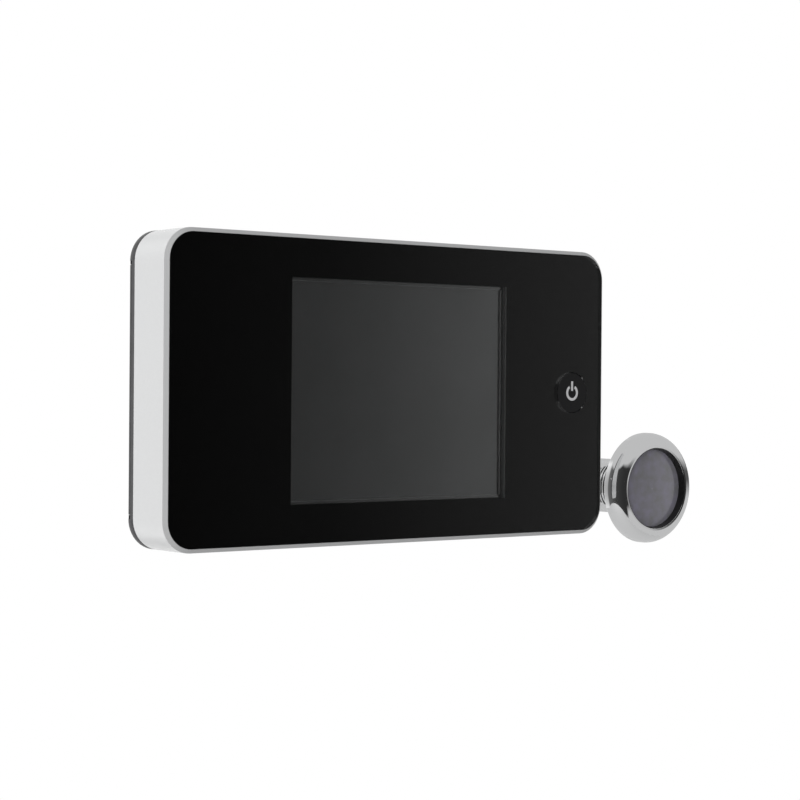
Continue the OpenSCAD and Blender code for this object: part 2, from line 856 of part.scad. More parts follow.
module cover_screws() {
    color([0.5, 0.5, 0.5])
        four(cover_screw_x, cover_screw_z)
            mirror([0, 1, 0])
                screw(cover_screw_r * pan_r, cover_screw_h, cover_screw_r, -back_y + cover_head_room,
                    -inside_y - 2 * post_floor);
}

// One battery cell standing along Z, its cap at the top
module cell() {
    translate([0, cell_y, 0]) {
        translate([0, 0, -cell_len / 2])
            cylinder(h = cell_len - nub_h, r = cell_r);
        translate([0, 0, cell_len / 2 - nub_h - join])
            cylinder(h = nub_h + join, r = nub_r);
    }
}

module cell_left() {
    color([0.16, 0.34, 0.2])
        translate([-bay_x - cell_x, 0, cell_off])
            cell();
}

module cell_right() {
    color([0.16, 0.34, 0.2])
        translate([-bay_x + cell_x, 0, -cell_off])
            mirror([0, 0, 1])
                cell();
}

// Section of the spring's wire after i steps, as a ring of points
function wire_ring(i) = let (
    share = i / (spring_steps * spring_turns),
    angle = i * 360 / spring_steps,
    r = spring_wide_r + (spring_slim_r - spring_wide_r) * share,
    rise = wire_r + (spring_len - 2 * wire_r) * share)
    [for (k = [0:spring_sides - 1]) let (b = k * 360 / spring_sides, q = r + wire_r * cos(b))
        [q * cos(angle), q * sin(angle), rise + wire_r * sin(b)]];

// Conical contact spring, its wide end at the bottom
module spring() {
    rings = spring_steps * spring_turns;
    n = spring_sides;
    polyhedron(
        points = [for (i = [0:rings], p = wire_ring(i)) p],
        faces = concat(
            [[for (k = [0:n - 1]) k]],
            [for (i = [0:rings - 1], k = [0:n - 1]) let (a = i * n + k, b = i * n + (k + 1) % n)
                [a, a + n, b]],
            [for (i = [0:rings - 1], k = [0:n - 1]) let (a = i * n + k, b = i * n + (k + 1) % n)
                [b, a + n, b + n]],
            [[for (k = [n - 1:-1:0]) rings * n + k]]));
}

module contact_springs() {
    color([0.75, 0.75, 0.72]) {
        translate([-bay_x - cell_x, cell_y, -spring_seat])
            spring();
        translate([-bay_x + cell_x, cell_y, spring_seat])
            mirror([0, 0, 1])
                spring();
    }
}

// Contact plates at both ends of the bay: one bridge below, two tabs above
module contact_plates() {
    half = cell_r - contact_in;
    low = bay_len / 2 - contact_gap - contact_t;
    color([0.8, 0.8, 0.78]) {
        block([-bay_x - cell_x - half, cell_y - half, -low - contact_t],
            [-bay_x + cell_x + half, cell_y + half, -low]);
        for (s = [-1, 1])
            translate([-bay_x + s * cell_x, cell_y, 0])
                block([-half, -half, low], [half, half, low + contact_t]);
    }
}

// Round power button with the skirt that keeps it in and its stem
module power_button() {
    color([0.03, 0.03, 0.03])
        translate([button_x, 0, 0])
            turned([[0, front_y], [button_r - button_edge, front_y], [button_r, front_y + button_edge],
                [button_r, skirt_y], [skirt_r, skirt_y], [skirt_r, skirt_back_y], [stem_r, skirt_back_y],
                [stem_r, stem_y], [0, stem_y]]);
}

// Plunger of the switch, which the button presses in
module switch_plunger() {
    color([0.85, 0.85, 0.82])
        translate([button_x, 0, 0])
            bar(plunger_r, plunger_y, switch_y + plunger_in);
}

// Sliding door of the battery bay
module battery_door() {
    color([0.2, 0.2, 0.21])
        difference() {
            union() {
                intersection() {
                    bevelled_slab(body_w, body_h, corner_r, seam_y, back_y, 0, back_bevel);
                    block([-body_w / 2 - cut, door_y, -door_half], [door_end, back_y + cut, door_half]);
                }
                block([-body_w / 2 + frame_wall, door_y, -door_half - rail_w],
                    [door_end + rail_w, door_y + rail_t, door_half + rail_w]);
            }
            for (i = [0:grip_count - 1])
                translate([-body_w / 2 + grip_side + grip_pitch * i, 0, 0])
                    block([0, back_y - grip_d, -grip_half], [grip_w, back_y + cut, grip_half]);
        }
}

// Steel bracket, stamped with hooks that the monitor hangs on
module bracket_plate() {
    color([0.72, 0.73, 0.75])
        difference() {
            union() {
                layer(plate_front_y, plate_back_y)
                    rounded(bracket_w, bracket_h, bracket_r);
                at_hooks() {
                    block([-hook_w / 2, plate_front_y - hook_reach, 0],
                        [hook_w / 2, plate_front_y + join, hook_t]);
                    block([-hook_w / 2, plate_front_y - hook_reach, 0],
                        [hook_w / 2, plate_front_y - hook_reach + hook_t, hook_t + hook_tip]);
                }
            }
            at_hooks()
                block([-hook_w / 2 - notch_room, plate_front_y, hook_t],
                    [hook_w / 2 + notch_room, plate_back_y + cut, hook_t + hook_tip + hook_reach / 2]);
            for (s = [-1, 1])
                translate([s * clamp_spacing / 2, 0, 0])
                    bar(clamp_hole_r, plate_front_y - cut, plate_back_y + cut);
            layer(plate_front_y - cut, plate_back_y + cut)
                rounded(ribbon_w, ribbon_h, ribbon_w / 2 - seat_gap);
        }
}

// Foam tape on both sides of the door's hole
module foam_tape() {
    color([0.95, 0.95, 0.93])
        for (s = [-1, 1])
            translate([s * (bracket_w / 2 - tape_in - tape_w / 2), 0, 0])
                layer(plate_back_y + touch, 0)
                    rounded(tape_w, bracket_h - 2 * tape_down, tape_in);
}

// The two long screws that clamp the bracket to the camera's barrel
module clamp_screws() {
    color([0.75, 0.75, 0.75])
        for (s = [-1, 1])
            translate([s * clamp_spacing / 2, 0, 0]) {
                screw(clamp_head_r, clamp_head_h, clamp_neck_r, plate_front_y - clamp_head_h - touch, join);
                bar(clamp_r, 0, clamp_len);
            }
}

// Puts a piece on the camera's axis
module at_camera() {
    translate([camera_x, 0, camera_z])
        children();
}

// Chromed flange and barrel, turned from one piece
module camera_housing() {
    shoulder = [for (a = [0:shoulder_step:90])
        [flange_r - shoulder_r + shoulder_r * cos(a), rim_y + shoulder_r - shoulder_r * sin(a)]];
    color([0.8, 0.81, 0.82])
        at_camera()
            turned(concat(
                [[bore_r, housing_end_y], [barrel_r - barrel_chamfer, housing_end_y],
                    [barrel_r, housing_end_y - barrel_chamfer],
                    [barrel_r, relief_y], [barrel_r - barrel_relief, relief_y],
                    [barrel_r - barrel_relief, flange_y],
                    [flange_r - flange_chamfer, flange_y], [flange_r, flange_y - flange_chamfer]],
                shoulder,
                [[recess_r, rim_y + rim_in], [recess_r, lens_back_y + touch],
                    [bore_r, lens_back_y + touch]]));
}

// Rubber washer between the flange and the door
module door_washer() {
    color([0.1, 0.1, 0.1])
        at_camera()
            difference() {
                bar(flange_r - washer_in, flange_y + touch, 0);
                bar(barrel_r + seat_gap, flange_y - cut, cut);
            }
}

// Black ring that lines the recess and holds the window
module lens_ring() {
    ring_r = recess_r - barrel_fit;
    color([0.03, 0.03, 0.03])
        at_camera()
            turned([[ring_r, rim_y + ring_down], [ring_r, lens_back_y], [lens_r + lens_play, lens_back_y],
                [lens_r + lens_play, lens_y], [ring_r - seat_gap, rim_y + ring_down]]);
}

// Slightly domed grey window
module lens_window() {
    dome_r = (lens_r * lens_r + dome_h * dome_h) / (2 * dome_h);
    half_angle = asin(lens_r / dome_r);
    dome = [for (i = [0:8]) let (a = half_angle * i / 8)
        [dome_r * sin(a), lens_y - dome_h + dome_r * (1 - cos(a))]];
    color([0.4, 0.39, 0.42])
        at_camera()
            turned(concat(dome, [[lens_r, lens_back_y], [0, lens_back_y]]));
}

// Threaded tube of the lens, with a funnel round its bead
module lens_tube() {
    color([0.06, 0.06, 0.06])
        at_camera()
            turned([[tube_r, tube_y], [tube_r, tube_y + tube_len], [bead_r - tube_rim, tube_y + tube_len],
                [bead_r - tube_rim, bead_y + bead_len], [bead_r + lens_play, bead_y + bead_len],
                [bead_r + lens_play, bead_y], [tube_r - tube_rim, tube_y]]);
}

// Front bead of the lens
module lens_bead() {
    ball_r = bead_r / sin(bead_reach);
    bead = [for (a = [0:10:bead_reach]) [ball_r * sin(a), bead_y + ball_r * (cos(bead_reach) - cos(a))]];
    color([0.2, 0.2, 0.35])
        at_camera()
            turned(concat(bead, [[bead_r, bead_y + bead_len - touch], [0, bead_y + bead_len - touch]]));
}

// Holder that centres the lens in the barrel
module lens_holder() {
    color([0.08, 0.08, 0.08])
        at_camera()
            turned([[tube_r + barrel_fit, holder_y], [inner_r, holder_y], [inner_r, holder_y + holder_len],
                [sensor_room_r, holder_y + holder_len], [sensor_room_r, tube_y + tube_len + seat_gap],
                [tube_r + barrel_fit, tube_y + tube_len + seat_gap]]);
}

// Image sensor behind the lens
module image_sensor() {
    color([0.2, 0.22, 0.2])
        at_camera()
            block([-sensor_w / 2, sensor_y, -sensor_w / 2],
                [sensor_w / 2, sensor_y + sensor_t, sensor_w / 2]);
}

// Round board that carries the sensor
module sensor_board() {
    color([0.05, 0.3, 0.16])
        at_camera()
            bar(inner_r, sensor_board_y, sensor_board_y + board_t);
}

// End plug of the barrel, tapped for the clamp screws, with the lead's slot
module end_plug() {
    color([0.75, 0.76, 0.78])
        at_camera()
            difference() {
                union() {
                    bar(inner_r, housing_end_y - plug_in, housing_end_y + join);
                    bar(barrel_r - plug_step, housing_end_y + touch, housing_end_y + plug_len);
                }
                for (s = [-1, 1])
                    translate([s * clamp_spacing / 2, 0, 0])
                        bar(clamp_r - plug_tap, housing_end_y + plug_tap, housing_end_y + plug_len + cut);
                layer(housing_end_y - plug_in - cut, housing_end_y + plug_len + cut)
                    rounded(ribbon_w, plug_slot_h, ribbon_w / 2 - seat_gap);
            }
}

front_panel();
panel_mask();
panel_adhesive();
front_frame();
back_cover();
screen_tray();
screen_glass();
backlight();
screen_flex();
flex_socket();
main_board();
main_chip();
driver_chip();
capacitors();
coil();
ribbon_socket();
switch_body();
board_screws();
cover_screws();
cell_left();
cell_right();
contact_springs();
contact_plates();
power_button();
switch_plunger();
battery_door();
bracket_plate();
foam_tape();
clamp_screws();
camera_housing();
door_washer();
lens_ring();
lens_window();
lens_tube();
lens_bead();
lens_holder();
image_sensor();
sensor_board();
end_plug();
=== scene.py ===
"""Looks for the door viewer: a monitor with a glossy black front, and its chromed camera unit.

Everything is in metres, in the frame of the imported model: X to the right as the screen is read,
Y into the door, Z up.
"""

import math

import bmesh
import bpy
from mathutils import Matrix, Vector


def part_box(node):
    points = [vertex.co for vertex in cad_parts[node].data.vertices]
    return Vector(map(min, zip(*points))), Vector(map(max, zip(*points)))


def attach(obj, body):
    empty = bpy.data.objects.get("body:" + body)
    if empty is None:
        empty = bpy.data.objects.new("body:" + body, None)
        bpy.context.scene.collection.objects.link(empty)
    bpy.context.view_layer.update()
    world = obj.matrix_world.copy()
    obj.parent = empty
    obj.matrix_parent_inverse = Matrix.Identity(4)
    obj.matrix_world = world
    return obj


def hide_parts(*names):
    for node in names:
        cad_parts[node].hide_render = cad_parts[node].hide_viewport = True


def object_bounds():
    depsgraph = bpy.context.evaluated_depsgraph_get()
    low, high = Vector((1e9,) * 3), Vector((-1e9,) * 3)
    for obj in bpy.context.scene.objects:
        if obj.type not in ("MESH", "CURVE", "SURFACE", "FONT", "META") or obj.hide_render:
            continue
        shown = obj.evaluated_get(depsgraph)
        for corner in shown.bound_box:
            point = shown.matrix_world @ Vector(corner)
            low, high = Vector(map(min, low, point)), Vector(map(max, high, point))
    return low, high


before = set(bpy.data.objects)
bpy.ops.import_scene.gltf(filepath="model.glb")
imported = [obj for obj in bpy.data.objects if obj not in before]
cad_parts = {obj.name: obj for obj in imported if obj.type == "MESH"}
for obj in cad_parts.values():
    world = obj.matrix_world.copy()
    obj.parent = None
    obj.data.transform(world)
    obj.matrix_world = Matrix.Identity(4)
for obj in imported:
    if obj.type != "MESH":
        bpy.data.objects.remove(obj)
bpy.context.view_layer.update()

MM = 0.001

# View of the photograph: focal length and the panel's place in its frame of 800 x 800 pixels
FRAME_SIDE = 800
FOCAL_PIXELS = 2059.7
PANEL_RIGHT = 2.8
PANEL_DOWN = -8.3
VIEW_YAW = math.radians(38.45)
VIEW_PITCH = math.radians(-0.34)
VIEW_ROLL = math.radians(0.45)
VIEW_DISTANCE = 462.8 * MM
SENSOR = 36
CLIP_START = 0.01

# Camera unit, with the sizes of the CAD piece that its detailed mesh stands for
FLANGE_R = 14.1 * MM
FLANGE_BACK = -0.8 * MM
RIM_Y = -5.6 * MM
SHOULDER_R = 3.5 * MM
EDGE_R = 0.12 * MM
LIP_W = 0.45 * MM
LIP_SLOPE = math.radians(9)
LIP_EDGE = 0.03 * MM
SHOULDER_SLOPE = math.radians(14)
SHOULDER_IN = 3.75 * MM
SHOULDER_STEPS = 28
EDGE_STEPS = 5
WINDOW_BACK = -2.63 * MM
BORE_R = 5.8 * MM
BARREL_R = 7 * MM
RELIEF_R = 6.7 * MM
RELIEF_Y = 0.2 * MM
RELIEF_STEP = 0.02 * MM
BARREL_END = 30 * MM
BARREL_CHAMFER = 0.5 * MM
BARREL_PITCH = 1.0 * MM
BARREL_THREAD = 0.4 * MM
BARREL_AROUND = 128
SHELL_SHARP = 8

# Threads: rings in one pitch, run-out in pitches, and the spread of crests and roots
THREAD_STEPS = 8
RUN_OUT = 0.5
CREST = 1.5
ROOT = 0.5

# Clamp screws
SCREW_R = 1.25 * MM
SCREW_PITCH = 0.45 * MM
SCREW_THREAD = 0.16 * MM
SCREW_START = 0.4 * MM
SCREW_END = 27.6 * MM
SCREW_HEAD_R = 2.25 * MM
SCREW_PROUD = 0.08 * MM
SCREW_SINK = 0.1 * MM
SCREW_AROUND = 40

# Edges of the CAD pieces that get a bevel by a modifier
COVER_BEVEL = 0.15 * MM
DOOR_BEVEL = 0.12 * MM
BEVEL_STEPS = 2
BEVEL_FROM = math.radians(30)
WELD_GAP = 0.001 * MM
MERGE_GAP = 0.0001 * MM

# Room that gloss and glass see, by the compass: degrees from the front, positive to the right, with
# the tone of the walls and the heights in degrees at which the walls end above and below
WALL_TONES = [(-180, 1.0), (-148, 1.0), (-128, 0.14), (-60, 0.05), (0, 0.03), (31, 0.026), (37, 0.055),
              (44, 0.19), (50, 0.5), (60, 0.5), (65, 0.1), (138, 0.08), (150, 1.0), (180, 1.0)]
WALL_TOPS = [(-180, 32), (-25, 30), (8, 14), (20, 9), (48, 9), (58, 3.5), (140, 3.5), (150, 32),
             (180, 32)]
WALL_FEET = [(-180, 42), (-25, 42), (8, 26), (20, 10), (48, 9), (58, 0), (140, 0), (150, 32),
             (180, 32)]
WALL_SOFT = 6
UPRIGHT = 90
CEILING = 0.58
SKY = 0.45

# Floor, far under the door viewer
FLOOR_DROP = 0.3
FLOOR_R = 0.5
FLOOR_SIDES = 96
FLOOR_TONE = 0.75
FLOOR_GLOW = 0.4

# Lamps: place, point that they aim at, side of the square, power
KEY_LAMP = ((-0.95, -0.6, 0.25), (0, 0, 0), 0.8, 8)
FILL_LAMP = ((0.7, 0.9, 0.6), (0.05, 0, 0), 0.7, 6)

# Power sign
SIGN_R = 1.9 * MM
SIGN_STROKE = 0.62 * MM
SIGN_GAP = math.radians(62)
SIGN_BAR = (0.45 * MM, 2.75 * MM)
SIGN_RAISE = 0.03 * MM
SIGN_STEPS = 40

# Noise mostly lies between these values
NOISE_LOW = 0.3
NOISE_HIGH = 0.7

# Lean to Y between which a material changes from its finish for sides to its other finish, with painted
# light and shade that change with it
LEAN_LOW = 0.2
LEAN_HIGH = 0.5

# Screen: the tone of its surface varies a little between these colours
SCREEN_TONES = ((0.41, 0.412, 0.41), (0.45, 0.45, 0.452))
SCREEN_METALLIC = 0.97
SCREEN_ROUGHNESS = 0.13
SCREEN_NOISE = 60

# Battery cell: where each colour starts, as a share of its length from the flat end
CELL_METAL = (0.6, 0.6, 0.6)
CELL_GREEN = (0.03, 0.13, 0.065)
CELL_PALE = (0.7, 0.7, 0.68)
CELL_BANDS = [(0, CELL_METAL), (0.02, CELL_GREEN), (0.7, CELL_PALE), (0.76, CELL_GREEN), (0.94, CELL_METAL)]
CELL_BARE = [(0, (1, 1, 1)), (0.02, (0, 0, 0)), (0.94, (1, 1, 1))]


def node(name):
    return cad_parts[name]


def axis_of(name):
    """X and Z of the middle of a CAD node."""
    low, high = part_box(name)
    return (low[0] + high[0]) / 2, (low[2] + high[2]) / 2


# Materials


def finish(name, color, roughness, metallic=0.0, ior=1.5, coat=0.0, transmission=0.0, specular=0.5):
    """A new material on the standard shader, with its constant values on the shader's own sockets."""
    made = bpy.data.materials.new(name)
    made.use_nodes = True
    shader = made.node_tree.nodes["Principled BSDF"]
    shader.inputs["Base Color"].default_value = (*color, 1)
    shader.inputs["Roughness"].default_value = roughness
    shader.inputs["Metallic"].default_value = metallic
    shader.inputs["IOR"].default_value = ior
    shader.inputs["Coat Weight"].default_value = coat
    shader.inputs["Transmission Weight"].default_value = transmission
    shader.inputs["Specular IOR Level"].default_value = specular
    return made


def noise(made, scale, detail=4.0, stretch=(1, 1, 1)):
    """Noise in the object's own coordinates; scale is in cells for each metre."""
    tree = made.node_tree
    place = tree.nodes.new("ShaderNodeTexCoord")
    mapping = tree.nodes.new("ShaderNodeMapping")
    mapping.inputs["Scale"].default_value = stretch
    texture = tree.nodes.new("ShaderNodeTexNoise")
    texture.inputs["Scale"].default_value = scale
    texture.inputs["Detail"].default_value = detail
    tree.links.new(place.outputs["Object"], mapping.inputs["Vector"])
    tree.links.new(mapping.outputs["Vector"], texture.inputs["Vector"])
    return texture.outputs["Fac"]


def color_stops(tree, factor, stops):
    """Maps a factor to colours through (position, colour) stops."""
    mapped = tree.nodes.new("ShaderNodeValToRGB")
    elements = mapped.color_ramp.elements
    while len(elements) < len(stops):
        elements.new(0.5)
    for element, (position, color) in zip(elements, stops):
        element.position = position
        element.color = (*color, 1)
    tree.links.new(factor, mapped.inputs["Fac"])
    return mapped.outputs["Color"]


def vary(made, factor, dark, light):
    """A colour between dark and light by a noise."""
    return color_stops(made.node_tree, factor, [(NOISE_LOW, dark), (NOISE_HIGH, light)])


def map_range(tree, value, limits, results, socket):
    """Leads a value to a socket, mapped from its limits to two results."""
    change = tree.nodes.new("ShaderNodeMapRange")
    change.inputs["From Min"].default_value = limits[0]
    change.inputs["From Max"].default_value = limits[1]
    change.inputs["To Min"].default_value = results[0]
    change.inputs["To Max"].default_value = results[1]
    tree.links.new(value, change.inputs["Value"])
    tree.links.new(change.outputs["Result"], socket)


def vary_color(made, factor, dark, light):
    tree = made.node_tree
    tree.links.new(vary(made, factor, dark, light), tree.nodes["Principled BSDF"].inputs["Base Color"])


def vary_roughness(made, factor, low, high):
    tree = made.node_tree
    socket = tree.nodes["Principled BSDF"].inputs["Roughness"]
    map_range(tree, factor, (NOISE_LOW, NOISE_HIGH), (low, high), socket)


def bumps(made, factor, depth, strength=1.0):
    tree = made.node_tree
    bump = tree.nodes.new("ShaderNodeBump")
    bump.inputs["Strength"].default_value = strength
    bump.inputs["Distance"].default_value = depth
    tree.links.new(factor, bump.inputs["Height"])
    tree.links.new(bump.outputs["Normal"], tree.nodes["Principled BSDF"].inputs["Normal"])


def turn_finish_and_painted_light(made, colors, metallic, roughness):
    """Gives a material two finishes and two colours, with painted light and shade: the first on its sides,
    the second where it turns to Y.
    """
    tree = made.node_tree
    shader = tree.nodes["Principled BSDF"]
    shape = tree.nodes.new("ShaderNodeNewGeometry")
    parts = tree.nodes.new("ShaderNodeSeparateXYZ")
    tree.links.new(shape.outputs["True Normal"], parts.inputs["Vector"])
    lean = tree.nodes.new("ShaderNodeMath")
    lean.operation = "ABSOLUTE"
    tree.links.new(parts.outputs["Y"], lean.inputs[0])
    mix = tree.nodes.new("ShaderNodeMix")
    mix.data_type = "RGBA"
    tree.links.new(colors[0], mix.inputs["A"])
    tree.links.new(colors[1], mix.inputs["B"])
    tree.links.new(mix.outputs["Result"], shader.inputs["Base Color"])
    for socket, values in ((mix.inputs["Factor"], (0, 1)), (shader.inputs["Metallic"], metallic),
                           (shader.inputs["Roughness"], roughness)):
        map_range(tree, lean.outputs["Value"], (LEAN_LOW, LEAN_HIGH), values, socket)


def acrylic():
    return finish("clear acrylic", (0.96, 0.97, 0.97), 0.012, ior=1.49, transmission=1.0)


def printed_black():
    made = finish("printed black", (0.0006, 0.0006, 0.0006), 0.5, specular=0.0)
    vary_color(made, noise(made, 900), (0.0004, 0.0004, 0.0004), (0.0008, 0.0008, 0.0009))
    return made


def polished_black():
    made = finish("polished black", (0.004, 0.004, 0.0045), 0.02, ior=1.49, specular=0.74)
    vary_roughness(made, noise(made, 350), 0.015, 0.035)
    return made


def silver_paint():
    """Metallic paint. The bevel round the front, where the normal leans to Y, is satin and has painted
    shade: a darker colour for how light falls on it.
    """
    made = finish("silver paint", (0.8, 0.805, 0.81), 0.27, metallic=0.5)
    flakes = noise(made, 9000, 2.0)
    bumps(made, flakes, 0.004 * MM, 0.35)
    side = vary(made, flakes, (0.76, 0.765, 0.77), (0.84, 0.845, 0.85))
    # painted shade: the bevel's darker colour stands in for how light falls on it
    bevel = vary(made, flakes, (0.44, 0.443, 0.446), (0.5, 0.503, 0.506))
    turn_finish_and_painted_light(made, (side, bevel), (0.5, 0.1), (0.27, 0.45))
    return made


def dark_moulding():
    made = finish("dark moulding", (0.066, 0.066, 0.069), 0.42)
    spark = noise(made, 3500, 3.0)
    vary_color(made, noise(made, 400), (0.058, 0.058, 0.06), (0.075, 0.075, 0.079))
    bumps(made, spark, 0.02 * MM, 0.5)
    return made


def screen_surface():
    made = finish("screen surface", SCREEN_TONES[0], SCREEN_ROUGHNESS, metallic=SCREEN_METALLIC)
    vary_color(made, noise(made, SCREEN_NOISE), *SCREEN_TONES)
    return made


def tray_steel():
    """Mirrors the room as the screen does, so that no border shows; its cut edges have painted light: a
    pale matte colour for the light on the recess walls.
    """
    made = finish("tray steel", SCREEN_TONES[0], SCREEN_ROUGHNESS, metallic=SCREEN_METALLIC)
    grain = noise(made, SCREEN_NOISE)
    # painted light: the pale matte colour of the cut edges stands in for the light the recess walls catch
    painted_light_edge = vary(made, grain, (0.74, 0.74, 0.74), (0.8, 0.8, 0.8))
    face = vary(made, grain, *SCREEN_TONES)
    turn_finish_and_painted_light(made, (painted_light_edge, face), (0, SCREEN_METALLIC), (0.5, SCREEN_ROUGHNESS))
    return made


def sheet_steel(name, tone, roughness, stretch=(1, 1, 1)):
    made = finish(name, (tone, tone, tone * 1.01), roughness, metallic=1.0)
    drawn = noise(made, 1500, 5.0, stretch)
    vary_roughness(made, drawn, roughness * 0.8, roughness * 1.3)
    bumps(made, drawn, 0.004 * MM, 0.3)
    return made


def chrome():
    made = finish("chrome", (0.86, 0.865, 0.87), 0.05, metallic=1.0)
    vary_roughness(made, noise(made, 700), 0.03, 0.1)
    bumps(made, noise(made, 260, 2.0), 0.02 * MM, 0.25)
    return made


def smoky_window():
    """Half clear, so that the bead of the lens shows as a faint spot behind it."""
    made = finish("smoky window", (0.3, 0.29, 0.33), 0.1, coat=1.0, transmission=0.35)
    vary_color(made, noise(made, 450, 3.0), (0.265, 0.265, 0.275), (0.33, 0.315, 0.395))
    return made


def moulded(name, dark, light, roughness, scale=900, depth=0.01):
    made = finish(name, light, roughness)
    grain = noise(made, scale)
    vary_color(made, grain, dark, light)
    bumps(made, grain, depth * MM, 0.4)
    return made


def cell_jacket(name, plus_up):
    """Printed sleeve in two colours, with bare metal at both ends of the cell."""
    low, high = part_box(name)
    made = finish("sleeve of " + name, CELL_GREEN, 0.3)
    tree = made.node_tree
    shader = tree.nodes["Principled BSDF"]
    place = tree.nodes.new("ShaderNodeTexCoord")
    parts = tree.nodes.new("ShaderNodeSeparateXYZ")
    along = tree.nodes.new("ShaderNodeMapRange")
    along.inputs["From Min"].default_value = low[2] if plus_up else high[2]
    along.inputs["From Max"].default_value = high[2] if plus_up else low[2]
    tree.links.new(place.outputs["Object"], parts.inputs["Vector"])
    tree.links.new(parts.outputs["Z"], along.inputs["Value"])
    for socket, stops in (("Base Color", CELL_BANDS), ("Metallic", CELL_BARE)):
        bands = color_stops(tree, along.outputs["Result"], stops)
        bands.node.color_ramp.interpolation = "CONSTANT"
        tree.links.new(bands, shader.inputs[socket])
    bumps(made, noise(made, 500), 0.004 * MM, 0.4)
    return made


def circuit_board():
    """Solder mask over copper tracks, as fine bands that turn at right angles."""
    made = finish("circuit board", (0.02, 0.16, 0.07), 0.35, coat=0.4)
    tree = made.node_tree
    place = tree.nodes.new("ShaderNodeTexCoord")
    tracks = tree.nodes.new("ShaderNodeTexBrick")
    tracks.inputs["Scale"].default_value = 260
    tracks.inputs["Mortar Size"].default_value = 0.06
    tracks.inputs["Color1"].default_value = (0.012, 0.11, 0.045, 1)
    tracks.inputs["Color2"].default_value = (0.016, 0.14, 0.06, 1)
    tracks.inputs["Mortar"].default_value = (0.05, 0.27, 0.1, 1)
    turn = tree.nodes.new("ShaderNodeMapping")
    turn.inputs["Rotation"].default_value = (math.radians(90), 0, 0)
    tree.links.new(place.outputs["Object"], turn.inputs["Vector"])
    tree.links.new(turn.outputs["Vector"], tracks.inputs["Vector"])
    tree.links.new(tracks.outputs["Color"], tree.nodes["Principled BSDF"].inputs["Base Color"])
    bumps(made, tracks.outputs["Fac"], 0.02 * MM, 0.5)
    return made


def dress():
    """Gives every CAD node that stays its finish."""
    dark = dark_moulding()
    chip = moulded("chip moulding", (0.02, 0.02, 0.02), (0.035, 0.035, 0.035), 0.5)
    socket = moulded("socket moulding", (0.74, 0.71, 0.62), (0.8, 0.78, 0.7), 0.4)
    board = circuit_board()
    screws = sheet_steel("zinc plated screws", 0.62, 0.28)
    contact = sheet_steel("nickel plated contacts", 0.72, 0.22)
    black = moulded("black holder", (0.012, 0.012, 0.012), (0.02, 0.02, 0.02), 0.45)
    finishes = {
        "front_panel": acrylic(),
        "panel_mask": printed_black(),
        "panel_adhesive": moulded("adhesive sheet", (0.36, 0.36, 0.36), (0.42, 0.42, 0.42), 0.5),
        "front_frame": silver_paint(),
        "back_cover": dark,
        "battery_door": dark,
        "screen_tray": tray_steel(),
        "screen_glass": screen_surface(),
        "backlight": moulded("light guide", (0.85, 0.85, 0.87), (0.9, 0.9, 0.92), 0.3),
        "screen_flex": moulded("amber film", (0.4, 0.17, 0.04), (0.5, 0.24, 0.06), 0.3),
        "flex_socket": socket,
        "ribbon_socket": socket,
        "main_board": board,
        "sensor_board": board,
        "main_chip": chip,
        "driver_chip": chip,
        "switch_body": chip,
        "image_sensor": chip,
        "capacitors": sheet_steel("bare cans", 0.75, 0.3),
        "coil": moulded("ferrite", (0.04, 0.04, 0.042), (0.07, 0.07, 0.075), 0.55),
        "board_screws": screws,
        "cover_screws": screws,
        "cell_left": cell_jacket("cell_left", True),
        "cell_right": cell_jacket("cell_right", False),
        "contact_springs": contact,
        "contact_plates": contact,
        "power_button": polished_black(),
        "switch_plunger": moulded("plunger moulding", (0.7, 0.7, 0.68), (0.78, 0.78, 0.76), 0.4),
        "bracket_plate": sheet_steel("zinc plated sheet", 0.6, 0.3, (1, 1, 6)),
        "foam_tape": moulded("foam tape", (0.78, 0.78, 0.76), (0.88, 0.88, 0.86), 0.9, 2500, 0.05),
        "clamp_screws": screws,
        "camera_housing": chrome(),
        "door_washer": moulded("washer rubber", (0.015, 0.015, 0.015), (0.03, 0.03, 0.03), 0.7),
        "lens_ring": moulded("black ring", (0.004, 0.004, 0.004), (0.008, 0.008, 0.008), 0.35),
        "lens_window": smoky_window(),
        "lens_tube": black,
        "lens_holder": black,
        "lens_bead": finish("lens bead", (0.5, 0.45, 0.8), 0.02, transmission=0.9),
        "end_plug": sheet_steel("nickel plated plug", 0.68, 0.22),
    }
    for name, made in finishes.items():
        piece = node(name)
        for place in piece.material_slots:
            place.material = made


def soften(name, width):
    """Rounds the sharp edges of a CAD node by a bevel of the given width."""
    piece = node(name)
    weld = piece.modifiers.new("weld", "WELD")
    weld.merge_threshold = WELD_GAP
    bevel = piece.modifiers.new("bevel", "BEVEL")
    bevel.width = width
    bevel.segments = BEVEL_STEPS
    bevel.limit_method = "ANGLE"
    bevel.angle_limit = BEVEL_FROM
    bevel.harden_normals = True


# Pieces


def new_piece(name, form, body, made, sharp=32):
    """A piece of the given body from a bmesh; edges past the angle in degrees stay sharp."""
    data = bpy.data.meshes.new(name)
    form.to_mesh(data)
    form.free()
    piece = bpy.data.objects.new(name, data)
    bpy.context.scene.collection.objects.link(piece)
    piece.data.materials.append(made)
    for face in piece.data.polygons:
        face.use_smooth = True
    piece.data.set_sharp_from_angle(angle=math.radians(sharp))
    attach(piece, body)
    return piece


def arc_band(form, inner, outer, start, end, y_front, y_back, middle):
    """Adds a flat ring sector with square edges to a bmesh."""
    rows = []
    for i in range(SIGN_STEPS + 1):
        angle = start + (end - start) * i / SIGN_STEPS
        ray = Vector((math.sin(angle), 0, math.cos(angle)))
        row = []
        for radius, y in ((inner, y_front), (outer, y_front), (outer, y_back), (inner, y_back)):
            point = middle + ray * radius
            row.append(form.verts.new((point.x, y, point.z)))
        rows.append(row)
    for first, second in zip(rows, rows[1:]):
        for k in range(4):
            form.faces.new((first[k], first[(k + 1) % 4], second[(k + 1) % 4], second[k]))
    form.faces.new(rows[0][::-1])
    form.faces.new(rows[-1])


